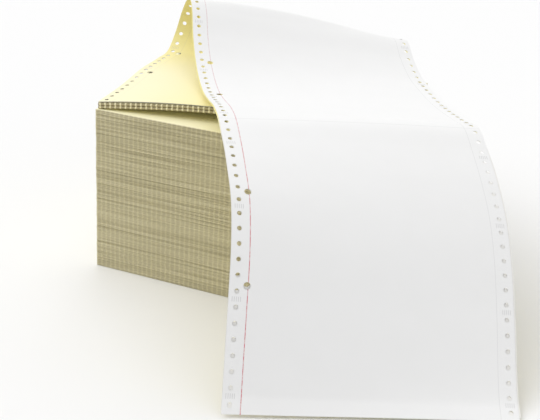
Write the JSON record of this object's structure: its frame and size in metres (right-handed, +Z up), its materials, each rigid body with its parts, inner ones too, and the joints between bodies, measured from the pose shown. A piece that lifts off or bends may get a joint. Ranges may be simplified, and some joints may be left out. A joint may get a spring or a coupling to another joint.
{
  "type": "fanfold continuous form paper",
  "caption": "Pack of zigzag-folded two-part continuous forms with sprocket-holed margins, its top forms drawn out over the front corner down to the ground.",
  "frame": {"origin": "centre of the main stack's underside", "axes": "+Z up, +X to the right along the folds, so the stack's front folds face -Y; the drawn-out forms fall past the front right corner"},
  "size_m": [0.5045, 0.5179, 0.2415],
  "materials": {
    "pack": "matte",
    "white": "matte",
    "yellow": "matte"
  },
  "bodies": {
    "root": {"main_stack": "pack", "pulled_bundle": "pack", "white_ply": "white", "yellow_ply": "yellow"}
  },
  "joints": []
}
